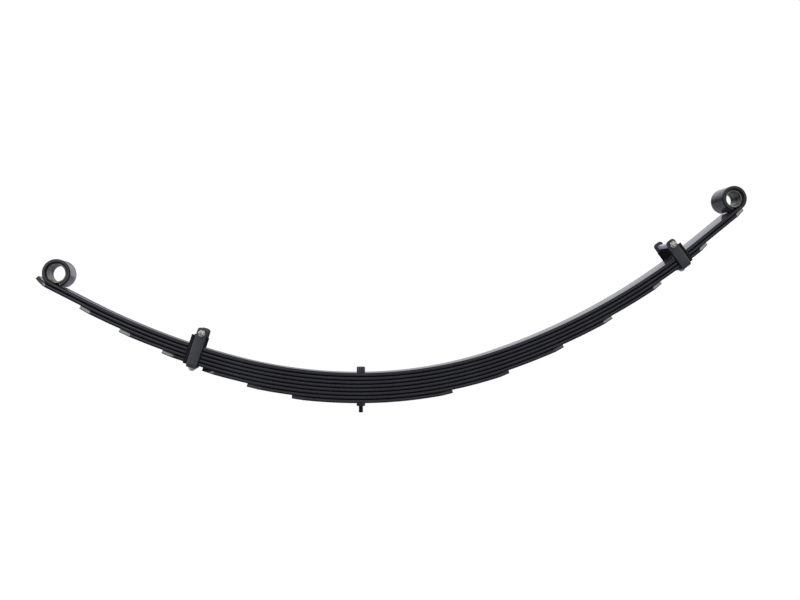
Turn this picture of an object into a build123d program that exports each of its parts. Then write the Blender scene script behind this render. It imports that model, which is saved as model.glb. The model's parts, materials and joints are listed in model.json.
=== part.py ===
"""Semi-elliptic multi-leaf spring.

+X points to the rear eye, -X to the front eye, +Z up. The origin is where the centre bolt's axis
meets the top of the main leaf, the face that the axle seat rests on.

Both arms of the pack follow two tangent arcs and a straight tail. A place on an arm is given by its
distance along the top of the main leaf, counted from the centre bolt, and by its depth below that
top.
"""
import os
from dataclasses import dataclass
from math import cos, radians, sin

from build123d import *

# Leaves
leaf_width = 60.0
leaf_thickness = 6.5
leaf_count = 8
front_lengths = (490.0, 415.0, 337.0, 265.0, 188.0, 113.0)     # of the third leaf and on
rear_lengths = (663.0, 556.0, 450.0, 352.0, 249.0, 150.0)
trim_length = 22.0          # the corners of each leaf end are cut off
trim_width = 15.0
wrap_leaf_rear = 754.0      # the second leaf supports both eyes
curl_radius = 60.0          # its front end curls up beside the eye
curl_angle = 23.0

# Eyes, rolled from the ends of the main leaf
eye_wrap = 313.0
front_bore_radius = 17.0
rear_bore_radius = 16.0
sleeve_wall = 3.0
sleeve_length = 48.0
sleeve_gap = 0.05

# Centre bolt, M8
bolt_radius = 4.0
bolt_hole_radius = 4.2
bolt_head_radius = 7.3
bolt_head_height = 9.8
bolt_head_seat = 0.05       # the head bears on its rim, because the leaf curves up beside it
bolt_edge = 0.8
bolt_stub = 11.0
nut_flats = 13.0
nut_height = 6.5

# Rebound clips
front_clip_distance = 283.0
rear_clip_distance = 605.0
front_clip_leaves = 5
rear_clip_leaves = 3
clip_gap = 0.4              # between the leaves and the liner
liner_thickness = 2.0
liner_width = 26.0
liner_shift = 2.5           # the liner reaches further towards the eye
liner_height = 16.5         # above the main leaf
liner_bend = 3.0
strap_thickness = 4.0
strap_width = 18.0
strap_bend = 7.0
clip_bolt_height = 22.0     # above the main leaf
ear_top = 31.5
ear_corner = 5.5
clip_bolt_radius = 3.0
clip_hole_radius = 3.2
clip_flats = 11.0
clip_head_height = 4.0
clip_nut_height = 5.0
clip_bolt_stub = 2.5
clip_bolt_edge = 0.5
spacer_radius = 4.5
rivet_radius = 4.0
rivet_slack = 0.1
rivet_dome_radius = 6.5
upset_radius = 5.5          # the rivet's other end fills a countersink in the leaf
upset_height = 1.8
upset_recess = 0.3

# Worked out from the sizes above
half_width = leaf_width / 2
pack_depth = leaf_count * leaf_thickness
liner_inner = half_width + clip_gap
strap_inner = liner_inner + liner_thickness
strap_outer = strap_inner + strap_thickness


@dataclass(frozen=True)
class Arm:
    """One half of the pack: an inner and an outer arc and a straight tail, each tangent to the next."""

    side: int
    inner_radius: float
    inner_length: float
    outer_radius: float
    tail_begin: float
    eye_distance: float
    bore_radius: float

    def slope(self, distance):
        """Slope of the leaves, in radians."""
        inner = min(distance, self.inner_length) / self.inner_radius
        outer = max(min(distance, self.tail_begin) - self.inner_length, 0.0) / self.outer_radius
        return inner + outer

    def point(self, distance, depth=0.0):
        """X and Z of a place on the arm."""
        turn = self.slope(distance)
        if distance <= self.inner_length:
            radius, middle_x, middle_z = self.inner_radius, 0.0, self.inner_radius
        else:
            join = self.slope(self.inner_length)
            radius = self.outer_radius
            middle_x = (self.inner_radius - radius) * sin(join)
            middle_z = self.inner_radius - (self.inner_radius - radius) * cos(join)
        tail = max(distance - self.tail_begin, 0.0)
        x = middle_x + (radius + depth) * sin(turn) + tail * cos(turn)
        z = middle_z - (radius + depth) * cos(turn) + tail * sin(turn)
        return self.side * x, z

    def rolled(self, distance, depth, radius, angle):
        """X and Z of a place on the circle that touches a face there, angle degrees further."""
        middle_x, middle_z = self.point(distance, depth - radius)
        turn = self.slope(distance) + radians(angle)
        return middle_x + self.side * radius * sin(turn), middle_z - radius * cos(turn)

    def along(self, distance, angle=0.0):
        """Unit vector along the leaves towards +X; angle degrees of curl are added."""
        turn = self.slope(distance) + radians(angle)
        return Vector(cos(turn), 0, self.side * sin(turn))

    def face_plane(self, distance, depth=0.0):
        """Plane in the face of a leaf: its x runs along the leaf to +X, its z up from it."""
        x, z = self.point(distance, depth)
        tangent = self.along(distance)
        return Plane(origin=(x, 0, z), x_dir=tangent, z_dir=tangent.cross(Vector(0, 1, 0)))

    def across_plane(self, distance):
        """Plane across the leaves: its x is +Y, its y points up from them."""
        x, z = self.point(distance)
        return Plane(origin=(x, 0, z), x_dir=(0, 1, 0), z_dir=self.along(distance))

    def side_plane(self, distance):
        """Plane lengthwise through the leaves: its x runs to +X, its y points up from them."""
        x, z = self.point(distance)
        return Plane(origin=(x, 0, z), x_dir=self.along(distance), z_dir=(0, -1, 0))


front = Arm(-1, 835.0, 215.0, 1215.0, 482.0, 549.0, front_bore_radius)
rear = Arm(1, 748.0, 243.0, 1175.0, 651.0, 749.0, rear_bore_radius)


def draw_face(arm, depth, end):
    """Draw one face of a leaf, from the centre bolt to its end on one arm."""
    stops = [0.0, *[stop for stop in (arm.inner_length, arm.tail_begin) if stop < end], end]
    for begin, finish in zip(stops, stops[1:]):
        places = [arm.point(distance, depth) for distance in (begin, (begin + finish) / 2, finish)]
        if begin < arm.tail_begin:
            ThreePointArc(*places)
        else:
            Line(places[0], places[2])


def draw_roll(arm, depth, radius, angle):
    """Draw the arc by which a face curls up at the eye."""
    places = [arm.rolled(arm.eye_distance, depth, radius, angle * part) for part in (0, 0.5, 1)]
    ThreePointArc(*places)


def cut_corners(arm, tip, outward):
    """Sketch the two corners that are cut off a leaf end, in the leaf's own plane there."""
    upward = arm.side * outward.cross(Vector(0, 1, 0))
    with BuildSketch(Plane(origin=(tip[0], 0, tip[1]), x_dir=outward, z_dir=upward)) as corners:
        for side in (-1, 1):
            with BuildLine():
                Polyline(
                    (-trim_length, side * half_width),
                    (0, side * (half_width - trim_width)),
                    (leaf_thickness, side * (half_width - trim_width)),
                    (leaf_thickness, side * leaf_width),
                    (-trim_length, side * leaf_width),
                    close=True,
                )
            make_face()
    return corners.sketch


def draw_rivet(depth, slack, recess):
    """Draw half of a rivet's shank and upset end, fatter by slack and shorter by recess."""
    top = leaf_thickness - depth
    bottom = -depth - clip_gap - liner_thickness - strap_thickness
    shank = rivet_radius + slack
    flare = (upset_radius - rivet_radius) * (1 - recess / upset_height)
    Polyline(
        (0, bottom),
        (shank, bottom),
        (shank, top - upset_height),
        (shank + flare, top - recess),
        (0, top - recess),
        close=True,
    )


def rivet_outline(plane, depth, slack, recess):
    """Sketch what draw_rivet draws, in a lengthwise plane."""
    with BuildSketch(plane) as outline:
        with BuildLine():
            draw_rivet(depth, slack, recess)
        make_face()
    return outline.sketch


# The main leaf, with both eyes
with BuildPart() as leaf_1_main:
    with BuildSketch(Plane.XZ):
        with BuildLine():
            for arm in (front, rear):
                eye_radius = arm.bore_radius + leaf_thickness
                draw_face(arm, 0.0, arm.eye_distance)
                draw_face(arm, leaf_thickness, arm.eye_distance)
                draw_roll(arm, 0.0, arm.bore_radius, eye_wrap)
                draw_roll(arm, leaf_thickness, eye_radius, eye_wrap)
                Line(
                    arm.rolled(arm.eye_distance, 0.0, arm.bore_radius, eye_wrap),
                    arm.rolled(arm.eye_distance, leaf_thickness, eye_radius, eye_wrap),
                )
        make_face()
    extrude(amount=half_width, both=True)
    Hole(bolt_hole_radius)
leaf_1_main.part.label = "leaf_1_main"

# The second leaf, which reaches under both eyes and curls up beside the front one
with BuildPart() as leaf_2_wrap:
    with BuildSketch(Plane.XZ):
        with BuildLine():
            for depth in (leaf_thickness, 2 * leaf_thickness):
                draw_face(front, depth, front.eye_distance)
                draw_roll(front, depth, curl_radius + depth, curl_angle)
                draw_face(rear, depth, wrap_leaf_rear)
            Line(
                *[
                    front.rolled(front.eye_distance, depth, curl_radius + depth, curl_angle)
                    for depth in (leaf_thickness, 2 * leaf_thickness)
                ]
            )
            Line(
                rear.point(wrap_leaf_rear, leaf_thickness),
                rear.point(wrap_leaf_rear, 2 * leaf_thickness),
            )
        make_face()
    extrude(amount=half_width, both=True)
    middle_depth = 1.5 * leaf_thickness
    curl_tip = front.rolled(
        front.eye_distance, middle_depth, curl_radius + middle_depth, curl_angle
    )
    rear_tip = rear.point(wrap_leaf_rear, middle_depth)
    corners = [
        cut_corners(front, curl_tip, -front.along(front.eye_distance, curl_angle)),
        cut_corners(rear, rear_tip, rear.along(wrap_leaf_rear)),
    ]
    for sketch in corners:
        extrude(sketch, amount=leaf_thickness, both=True, mode=Mode.SUBTRACT)
    Hole(bolt_hole_radius)
leaf_2_wrap.part.label = "leaf_2_wrap"

# The plain leaves, each shorter than the one above it
clips = [
    (front, front_clip_distance, front_clip_leaves),
    (rear, rear_clip_distance, rear_clip_leaves),
]
plain_leaves = []
for number in range(3, leaf_count + 1):
    front_end = front_lengths[number - 3]
    rear_end = rear_lengths[number - 3]
    top = (number - 1) * leaf_thickness
    bottom = number * leaf_thickness
    with BuildPart() as leaf:
        with BuildSketch(Plane.XZ):
            with BuildLine():
                for arm, end in ((front, front_end), (rear, rear_end)):
                    draw_face(arm, top, end)
                    draw_face(arm, bottom, end)
                    Line(arm.point(end, top), arm.point(end, bottom))
            make_face()
        extrude(amount=half_width, both=True)
        for arm, end in ((front, front_end), (rear, rear_end)):
            tip = arm.point(end, (top + bottom) / 2)
            sketch = cut_corners(arm, tip, arm.side * arm.along(end))
            extrude(sketch, amount=leaf_thickness, both=True, mode=Mode.SUBTRACT)
        Hole(bolt_hole_radius)
        for arm, distance, leaves in clips:
            if number == leaves:
                plane = arm.side_plane(distance)
                sketch = rivet_outline(plane, bottom, rivet_slack, 0)
                revolve(sketch, axis=Axis(plane.origin, plane.y_dir), mode=Mode.SUBTRACT)
    leaf.part.label = f"leaf_{number}"
    plain_leaves.append(leaf.part)

# The centre bolt and its nut
with BuildPart() as centre_bolt:
    with BuildSketch(Plane.XY.offset(bolt_head_seat)):
        Circle(bolt_head_radius)
    extrude(amount=bolt_head_height - bolt_head_seat)
    chamfer(centre_bolt.edges().sort_by(Axis.Z)[-1], bolt_edge)
    with BuildSketch(Plane.XY.offset(bolt_head_seat)):
        Circle(bolt_radius)
    extrude(amount=-(bolt_head_seat + pack_depth + nut_height + bolt_stub))
    chamfer(centre_bolt.edges().sort_by(Axis.Z)[0], bolt_edge)
centre_bolt.part.label = "centre_bolt"

with BuildPart() as centre_nut:
    with BuildSketch(Plane.XY.offset(-pack_depth)):
        RegularPolygon(nut_flats / 2, 6, major_radius=False)
        Circle(bolt_radius, mode=Mode.SUBTRACT)
    extrude(amount=-nut_height)
centre_nut.part.label = "centre_nut"


def eye_sleeve(arm, name):
    """Make the sleeve pressed into an eye."""
    eye_x, eye_z = arm.point(arm.eye_distance, -arm.bore_radius)
    outer = arm.bore_radius - sleeve_gap
    with BuildPart() as sleeve:
        with BuildSketch(Plane(origin=(eye_x, 0, eye_z), x_dir=(1, 0, 0), z_dir=(0, 1, 0))):
            Circle(outer)
            Circle(arm.bore_radius - sleeve_wall, mode=Mode.SUBTRACT)
        extrude(amount=sleeve_length / 2, both=True)
    sleeve.part.label = name
    return sleeve.part


def channel(plane, inner, outer, floor, wall, bend, top):
    """Sketch a U section: its inner and outer half width, floor, wall, outer bend and top."""
    with BuildSketch(plane) as section:
        with BuildLine():
            FilletPolyline(
                (-outer, top), (-outer, floor - wall), (outer, floor - wall), (outer, top),
                radius=bend,
            )
            Line((outer, top), (inner, top))
            FilletPolyline(
                (inner, top), (inner, floor), (-inner, floor), (-inner, top),
                radius=bend - wall,
            )
            Line((-inner, top), (-outer, top))
        make_face()
    return section.sketch


def clip_parts(arm, distance, leaves, name):
    """Make one rebound clip around the given number of leaves."""
    depth = leaves * leaf_thickness
    across = arm.across_plane(distance)
    lengthwise = arm.side_plane(distance)
    liner_floor = -depth - clip_gap
    strap_floor = liner_floor - liner_thickness
    strap_bottom = strap_floor - strap_thickness
    bolt_plane = Plane(
        origin=lengthwise.origin + lengthwise.y_dir * clip_bolt_height,
        x_dir=lengthwise.x_dir,
        z_dir=(0, 1, 0),
    )
    rivet_axis = Axis(lengthwise.origin, lengthwise.y_dir)

    with BuildPart() as strap:
        section = channel(
            across, strap_inner, strap_outer, strap_floor, strap_thickness, strap_bend, ear_top
        )
        extrude(section, amount=strap_width / 2, both=True)
        with BuildSketch(lengthwise):
            with Locations((0, strap_bottom)):
                RectangleRounded(strap_width, 2 * (ear_top - strap_bottom), ear_corner)
        extrude(amount=strap_outer, both=True, mode=Mode.INTERSECT)
        with BuildSketch(bolt_plane):
            Circle(clip_hole_radius)
        extrude(amount=strap_outer, both=True, mode=Mode.SUBTRACT)
        with BuildSketch(arm.face_plane(distance)):
            Circle(rivet_radius + rivet_slack)
        extrude(amount=strap_bottom, mode=Mode.SUBTRACT)

    with BuildPart() as liner:
        middle = across.offset(arm.side * liner_shift)
        section = channel(
            middle, liner_inner, strap_inner, liner_floor, liner_thickness, liner_bend, liner_height
        )
        extrude(section, amount=liner_width / 2, both=True)
        with BuildSketch(arm.face_plane(distance)):
            Circle(rivet_radius + rivet_slack)
        extrude(amount=strap_bottom, mode=Mode.SUBTRACT)

    with BuildPart() as bolt:
        with BuildSketch(bolt_plane.offset(strap_outer)):
            RegularPolygon(clip_flats / 2, 6, major_radius=False)
        extrude(amount=clip_head_height)
        with BuildSketch(bolt_plane.offset(strap_outer)):
            Circle(clip_bolt_radius)
        extrude(amount=-(2 * strap_outer + clip_nut_height + clip_bolt_stub))
        chamfer(bolt.edges().sort_by(Axis.Y)[0], clip_bolt_edge)

    with BuildPart() as nut:
        with BuildSketch(bolt_plane.offset(-strap_outer)):
            RegularPolygon(clip_flats / 2, 6, major_radius=False)
            Circle(clip_bolt_radius, mode=Mode.SUBTRACT)
        extrude(amount=-clip_nut_height)

    with BuildPart() as spacer:
        with BuildSketch(bolt_plane):
            Circle(spacer_radius)
            Circle(clip_hole_radius, mode=Mode.SUBTRACT)
        extrude(amount=strap_inner, both=True)

    with BuildPart() as rivet:
        with BuildSketch(lengthwise):
            with BuildLine():
                draw_rivet(depth, 0, upset_recess)
            make_face()
            with BuildLine():
                pole = (0, strap_bottom - rivet_dome_radius)
                rim = (rivet_dome_radius, strap_bottom)
                TangentArc(pole, rim, tangent=(1, 0))
                Polyline(rim, (0, strap_bottom), pole)
            make_face()
        revolve(axis=rivet_axis)

    pieces = {
        "strap": strap, "liner": liner, "bolt": bolt, "nut": nut, "spacer": spacer, "rivet": rivet
    }
    for kind, piece in pieces.items():
        piece.part.label = f"{name}_{kind}"
    return [piece.part for piece in pieces.values()]


parts = [leaf_1_main.part, leaf_2_wrap.part, *plain_leaves, centre_bolt.part, centre_nut.part]
parts.append(eye_sleeve(front, "front_eye_sleeve"))
parts.append(eye_sleeve(rear, "rear_eye_sleeve"))
parts += clip_parts(front, front_clip_distance, front_clip_leaves, "front_clip")
parts += clip_parts(rear, rear_clip_distance, rear_clip_leaves, "rear_clip")

os.makedirs("parts", exist_ok=True)
for part in parts:
    export_step(part, f"parts/{part.label}.step")
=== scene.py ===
"""Looks of a multi-leaf suspension spring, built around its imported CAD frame.

Lengths are in millimetres in the classes and become metres when a mesh is made. +X points to the
rear eye, +Z up, and the origin is where the centre bolt meets the top of the main leaf. A place on
the pack is given by its run, the signed distance from the centre bolt along the top of the main
leaf, positive towards the rear eye, and by its depth below that top.
"""
import json
import logging
import math
from dataclasses import dataclass, field
from enum import Enum
from typing import Callable, Sequence

import bmesh
import bpy
import numpy as np
from mathutils import Matrix, Vector
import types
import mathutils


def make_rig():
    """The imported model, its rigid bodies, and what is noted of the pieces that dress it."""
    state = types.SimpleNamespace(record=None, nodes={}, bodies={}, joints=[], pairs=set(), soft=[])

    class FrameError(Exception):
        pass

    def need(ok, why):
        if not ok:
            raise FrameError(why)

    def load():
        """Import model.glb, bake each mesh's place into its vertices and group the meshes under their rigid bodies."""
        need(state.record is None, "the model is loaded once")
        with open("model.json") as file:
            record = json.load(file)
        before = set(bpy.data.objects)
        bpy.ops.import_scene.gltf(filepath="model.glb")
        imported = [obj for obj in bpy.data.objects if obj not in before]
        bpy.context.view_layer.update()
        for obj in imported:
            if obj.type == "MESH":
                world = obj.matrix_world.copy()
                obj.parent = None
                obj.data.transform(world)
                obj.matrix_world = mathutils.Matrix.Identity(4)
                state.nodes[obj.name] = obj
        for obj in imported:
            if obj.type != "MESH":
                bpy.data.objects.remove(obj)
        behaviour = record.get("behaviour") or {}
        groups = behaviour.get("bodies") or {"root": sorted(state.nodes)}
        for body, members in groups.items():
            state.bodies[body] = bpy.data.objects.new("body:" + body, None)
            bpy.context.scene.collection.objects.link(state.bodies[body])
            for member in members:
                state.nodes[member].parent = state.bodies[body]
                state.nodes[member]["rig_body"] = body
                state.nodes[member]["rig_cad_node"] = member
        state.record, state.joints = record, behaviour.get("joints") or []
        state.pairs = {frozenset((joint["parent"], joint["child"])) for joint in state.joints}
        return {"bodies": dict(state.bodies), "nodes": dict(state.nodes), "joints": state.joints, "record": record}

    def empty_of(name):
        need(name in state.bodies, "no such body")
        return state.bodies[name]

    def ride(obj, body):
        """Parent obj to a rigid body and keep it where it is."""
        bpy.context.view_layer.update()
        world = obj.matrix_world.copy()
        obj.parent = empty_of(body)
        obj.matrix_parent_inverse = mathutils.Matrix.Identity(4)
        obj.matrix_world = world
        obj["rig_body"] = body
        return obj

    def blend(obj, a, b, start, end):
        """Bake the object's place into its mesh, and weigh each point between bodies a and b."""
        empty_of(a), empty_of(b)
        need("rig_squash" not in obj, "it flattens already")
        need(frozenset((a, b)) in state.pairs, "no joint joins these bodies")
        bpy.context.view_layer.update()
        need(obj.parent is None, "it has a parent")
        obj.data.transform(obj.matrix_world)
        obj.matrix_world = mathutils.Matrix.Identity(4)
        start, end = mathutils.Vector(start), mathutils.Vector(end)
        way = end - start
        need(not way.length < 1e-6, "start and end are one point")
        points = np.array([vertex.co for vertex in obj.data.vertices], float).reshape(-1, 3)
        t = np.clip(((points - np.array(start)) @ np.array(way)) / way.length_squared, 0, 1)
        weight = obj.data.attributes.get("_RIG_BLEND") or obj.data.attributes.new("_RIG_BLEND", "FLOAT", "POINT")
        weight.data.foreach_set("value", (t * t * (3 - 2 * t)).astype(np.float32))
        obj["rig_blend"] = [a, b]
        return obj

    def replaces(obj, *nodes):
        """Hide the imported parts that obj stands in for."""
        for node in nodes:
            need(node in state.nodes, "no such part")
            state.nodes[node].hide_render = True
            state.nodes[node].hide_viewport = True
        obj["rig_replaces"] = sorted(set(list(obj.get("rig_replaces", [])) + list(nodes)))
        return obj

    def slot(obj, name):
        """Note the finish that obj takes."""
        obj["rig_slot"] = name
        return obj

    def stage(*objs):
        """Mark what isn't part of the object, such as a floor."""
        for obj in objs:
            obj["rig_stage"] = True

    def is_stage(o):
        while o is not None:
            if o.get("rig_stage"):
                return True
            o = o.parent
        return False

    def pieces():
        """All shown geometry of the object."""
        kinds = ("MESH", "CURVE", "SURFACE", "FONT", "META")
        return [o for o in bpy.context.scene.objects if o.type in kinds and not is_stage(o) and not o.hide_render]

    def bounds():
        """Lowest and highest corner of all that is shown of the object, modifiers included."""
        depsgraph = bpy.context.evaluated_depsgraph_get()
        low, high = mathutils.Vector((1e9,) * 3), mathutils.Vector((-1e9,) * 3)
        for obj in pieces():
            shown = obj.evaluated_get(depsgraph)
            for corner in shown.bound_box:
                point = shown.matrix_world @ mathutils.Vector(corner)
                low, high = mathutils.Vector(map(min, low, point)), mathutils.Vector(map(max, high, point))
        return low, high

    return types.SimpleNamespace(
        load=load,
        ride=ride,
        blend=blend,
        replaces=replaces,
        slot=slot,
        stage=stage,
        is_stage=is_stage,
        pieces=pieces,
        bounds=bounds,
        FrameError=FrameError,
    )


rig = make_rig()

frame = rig.load()
cad_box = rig.bounds()

log = logging.getLogger("leaf_spring")
MM = 0.001
MATH = "ShaderNodeMath"
RANGE = "ShaderNodeMapRange"
PARTS = "ShaderNodeSeparateXYZ"
NAMED = "GeometryNodeInputNamedAttribute"
HOLE_STEPS = 40  # how many flat faces stand for a drilled hole's wall


# ---------------------------------------------------------------------------------------------
# Small tools
# ---------------------------------------------------------------------------------------------


def linear(colour: str) -> tuple[float, float, float, float]:
    """Turn an sRGB hex colour into linear RGBA."""
    parts = [int(colour[i : i + 2], 16) / 255 for i in (1, 3, 5)]
    values = [c / 12.92 if c <= 0.04045 else ((c + 0.055) / 1.055) ** 2.4 for c in parts]
    return (*values, 1.0)


def per_mm(size: float) -> float:
    """Scale of a texture on metre coordinates whose grain is about size millimetres."""
    return 1.0 / (size * MM)


def add_node(
    tree: bpy.types.NodeTree, kind: str, inputs: dict | None = None, **settings: object
) -> bpy.types.Node:
    """Add a node to a tree.

    Args:
        tree: the material, world or geometry tree.
        kind: the node's bl_idname.
        inputs: socket name or number to a value, to another node's output socket, or to a node,
            which stands for its first output.
        **settings: the node's own properties.

    Returns:
        The new node.
    """
    node = tree.nodes.new(kind)
    for name, value in settings.items():
        setattr(node, name, value)
    for name, value in (inputs or {}).items():
        socket = node.inputs[name]
        if isinstance(value, bpy.types.Node):
            value = value.outputs[0]
        if isinstance(value, bpy.types.NodeSocket):
            tree.links.new(value, socket)
        else:
            socket.default_value = value
    return node


def set_inputs(modifier: bpy.types.NodesModifier, values: dict) -> None:
    """Set a Geometry Nodes modifier's inputs by their names."""
    for socket in modifier.node_group.interface.items_tree:
        if socket.in_out == "INPUT" and socket.name in values:
            modifier[socket.identifier] = values[socket.name]


def add_object(name: str, data: bpy.types.ID) -> bpy.types.Object:
    """Add an object to the scene, at the origin."""
    added = bpy.data.objects.new(name, data)
    bpy.context.scene.collection.objects.link(added)
    return added


def evaluated_mesh(piece: bpy.types.Object) -> bpy.types.Mesh:
    """A plain mesh of an object with its modifiers applied."""
    bpy.context.view_layer.update()
    graph = bpy.context.evaluated_depsgraph_get()
    return bpy.data.meshes.new_from_object(piece.evaluated_get(graph))


def settle(piece: bpy.types.Object) -> None:
    """Apply all of a piece's modifiers to its mesh."""
    mesh = evaluated_mesh(piece)
    old = piece.data
    piece.modifiers.clear()
    mesh.name = piece.name
    piece.data = mesh
    bpy.data.meshes.remove(old)


def shade_by_angle(piece: bpy.types.Object, degrees: float = 32.0) -> None:
    """Shade a piece smooth, with the edges that turn by more than an angle left sharp."""
    shape = bmesh.new()
    shape.from_mesh(piece.data)
    limit = math.radians(degrees)
    for face in shape.faces:
        face.smooth = True
    for edge in shape.edges:
        edge.smooth = len(edge.link_faces) == 2 and edge.calc_face_angle(math.pi) < limit
    shape.to_mesh(piece.data)
    shape.free()


def break_edges(
    piece: bpy.types.Object, width: float, seams: Sequence[float] = (), degrees: float = 30.0
) -> None:
    """Round a piece's sharp edges.

    Args:
        piece: the object, whose modifiers are already applied.
        width: how far the rounding reaches from the edge, in millimetres.
        seams: runs at which the piece meets its neighbour, where the edges stay sharp.
        degrees: by how much the faces turn at an edge that is rounded.
    """
    shape = bmesh.new()
    shape.from_mesh(piece.data)
    run = shape.verts.layers.float.get("run")
    chosen = []
    for edge in shape.edges:
        sharp = edge.calc_face_angle(0.0) > math.radians(degrees)
        at_seam = any(abs(vert[run] - seam * MM) < 1e-6 for vert in edge.verts for seam in seams)
        if sharp and not at_seam:
            chosen.append(edge)
    bmesh.ops.bevel(
        shape, geom=chosen, offset=width * MM, segments=2, profile=0.5, affect="EDGES"
    )
    bmesh.ops.remove_doubles(shape, verts=shape.verts, dist=2e-6)
    bmesh.ops.recalc_face_normals(shape, faces=shape.faces)
    shape.to_mesh(piece.data)
    shape.free()


def new_piece(name: str, vertices: np.ndarray, faces: Sequence[Sequence[int]]) -> bpy.types.Object:
    """Make an object at the origin from vertices in millimetres, its faces turned outwards."""
    mesh = bpy.data.meshes.new(name)
    mesh.from_pydata((np.asarray(vertices, float) * MM).tolist(), [], [list(f) for f in faces])
    mesh.update()
    shape = bmesh.new()
    shape.from_mesh(mesh)
    bmesh.ops.remove_doubles(shape, verts=shape.verts, dist=1e-7)
    bmesh.ops.recalc_face_normals(shape, faces=shape.faces)
    shape.to_mesh(mesh)
    shape.free()
    return add_object(name, mesh)


def drill(piece: bpy.types.Object, centre: Vector, axis: Vector, radius: float, reach: float) -> None:
    """Cut a round hole right through a piece.

    Args:
        piece: the object to cut.
        centre: a point on the hole's axis, in millimetres.
        axis: the hole's direction.
        radius: the hole's radius in millimetres.
        reach: how far the cut goes each way from the centre, in millimetres.
    """
    cutter_mesh = bpy.data.meshes.new("cutter")
    shape = bmesh.new()
    turn = Vector(axis).to_track_quat("Z", "Y").to_matrix().to_4x4()
    place = Matrix.Translation(Vector(centre) * MM) @ turn
    bmesh.ops.create_cone(
        shape,
        cap_ends=True,
        segments=HOLE_STEPS,
        radius1=radius * MM,
        radius2=radius * MM,
        depth=2 * reach * MM,
        matrix=place,
    )
    shape.to_mesh(cutter_mesh)
    shape.free()
    cutter = add_object("cutter", cutter_mesh)
    cut = piece.modifiers.new("hole", "BOOLEAN")
    cut.object = cutter
    cut.operation = "DIFFERENCE"
    cut.solver = "EXACT"
    settle(piece)
    bpy.data.objects.remove(cutter)
    bpy.data.meshes.remove(cutter_mesh)


@dataclass(frozen=True)
class Place:
    """A local frame in the pack: an origin in millimetres and three axes of unit length."""

    origin: Vector
    x: Vector
    y: Vector
    z: Vector

    def points(self, local: np.ndarray) -> np.ndarray:
        """Turn local points, in an array of any shape, into points of the pack's frame."""
        axes = np.array([self.x, self.y, self.z], float)
        return np.asarray(local, float) @ axes + np.array(self.origin, float)

    def moved(self, step: Vector) -> "Place":
        """The same frame, moved by a step."""
        return Place(self.origin + step, self.x, self.y, self.z)


def end_tree(tree: bpy.types.NodeTree, shape: bpy.types.Node, material: bpy.types.NodeSocket) -> None:
    """End a Geometry Nodes tree: its shape made real, given its material and put out."""
    real = add_node(tree, "GeometryNodeRealizeInstances", {0: shape})
    coated = add_node(tree, "GeometryNodeSetMaterial", {"Geometry": real, "Material": material})
    add_node(tree, "NodeGroupOutput", {0: coated})


def skin(rings: np.ndarray, closed: bool) -> tuple[np.ndarray, list[list[int]]]:
    """Cover a stack of rings with faces.

    Args:
        rings: points as an array of ring, place on the ring, coordinate.
        closed: True joins the last ring to the first, as on a tube; False caps both ends.

    Returns:
        The vertices and the faces.
    """
    count, around = rings.shape[:2]
    faces = []
    for ring in range(count if closed else count - 1):
        here, there = ring * around, (ring + 1) % count * around
        for k in range(around):
            after = (k + 1) % around
            faces.append([here + k, here + after, there + after, there + k])
    if not closed:
        faces.append(list(range(around))[::-1])
        faces.append([(count - 1) * around + k for k in range(around)])
    return rings.reshape(-1, 3), faces


def tube_wall(end: list[tuple[float, float]]) -> list[tuple[float, float]]:
    """A tube's outline from its upper end's, bore to outside, with the lower end its mirror."""
    return [(radius, -height) for radius, height in end] + end[::-1]


def turned(
    name: str, place: Place, outline: Sequence[tuple[float, float]], closed: bool, around: int = 64
) -> bpy.types.Object:
    """Turn an outline of (radius, height) points about a place's z axis.

    Args:
        name: the piece's name.
        place: where its axis stands.
        outline: the points, from one end to the other, or right round a tube's wall.
        closed: True for a tube, False for a solid of revolution.
        around: how many steps go round.

    Returns:
        The new object.
    """
    angles = np.arange(around) * 2 * math.pi / around
    rings = [[(r * math.cos(a), r * math.sin(a), h) for a in angles] for r, h in outline]
    return new_piece(name, *skin(place.points(rings), closed))


# ---------------------------------------------------------------------------------------------
# The line that the leaves follow
# ---------------------------------------------------------------------------------------------


@dataclass(frozen=True)
class Arm:
    """One half of the pack: an inner and an outer arc and a straight tail, each tangent to the next."""

    side: int
    inner_radius: float
    inner_length: float
    outer_radius: float
    tail_begin: float
    eye_distance: float
    bore_radius: float

    def slope(self, distance: float) -> float:
        """Slope of the leaves, in radians."""
        inner = min(distance, self.inner_length) / self.inner_radius
        outer = max(min(distance, self.tail_begin) - self.inner_length, 0.0) / self.outer_radius
        return inner + outer

    def point(self, distance: float, depth: float) -> tuple[float, float]:
        """X and Z of a place on the arm."""
        turn = self.slope(distance)
        radius, middle_x, middle_z = self.inner_radius, 0.0, self.inner_radius
        if distance > self.inner_length:
            join = self.slope(self.inner_length)
            radius = self.outer_radius
            middle_x = (self.inner_radius - radius) * math.sin(join)
            middle_z = self.inner_radius - (self.inner_radius - radius) * math.cos(join)
        tail = max(distance - self.tail_begin, 0.0)
        x = middle_x + (radius + depth) * math.sin(turn) + tail * math.cos(turn)
        z = middle_z - (radius + depth) * math.cos(turn) + tail * math.sin(turn)
        return self.side * x, z

    def rolled(self, depth: float, radius: float, angle: float) -> tuple[float, float]:
        """X and Z of a place on the circle that touches the leaf at the eye.

        Args:
            depth: depth at which the circle touches.
            radius: the circle's radius.
            angle: degrees past the touching point.

        Returns:
            X and Z.
        """
        middle_x, middle_z = self.point(self.eye_distance, depth - radius)
        turn = self.slope(self.eye_distance) + math.radians(angle)
        return middle_x + self.side * radius * math.sin(turn), middle_z - radius * math.cos(turn)


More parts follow.
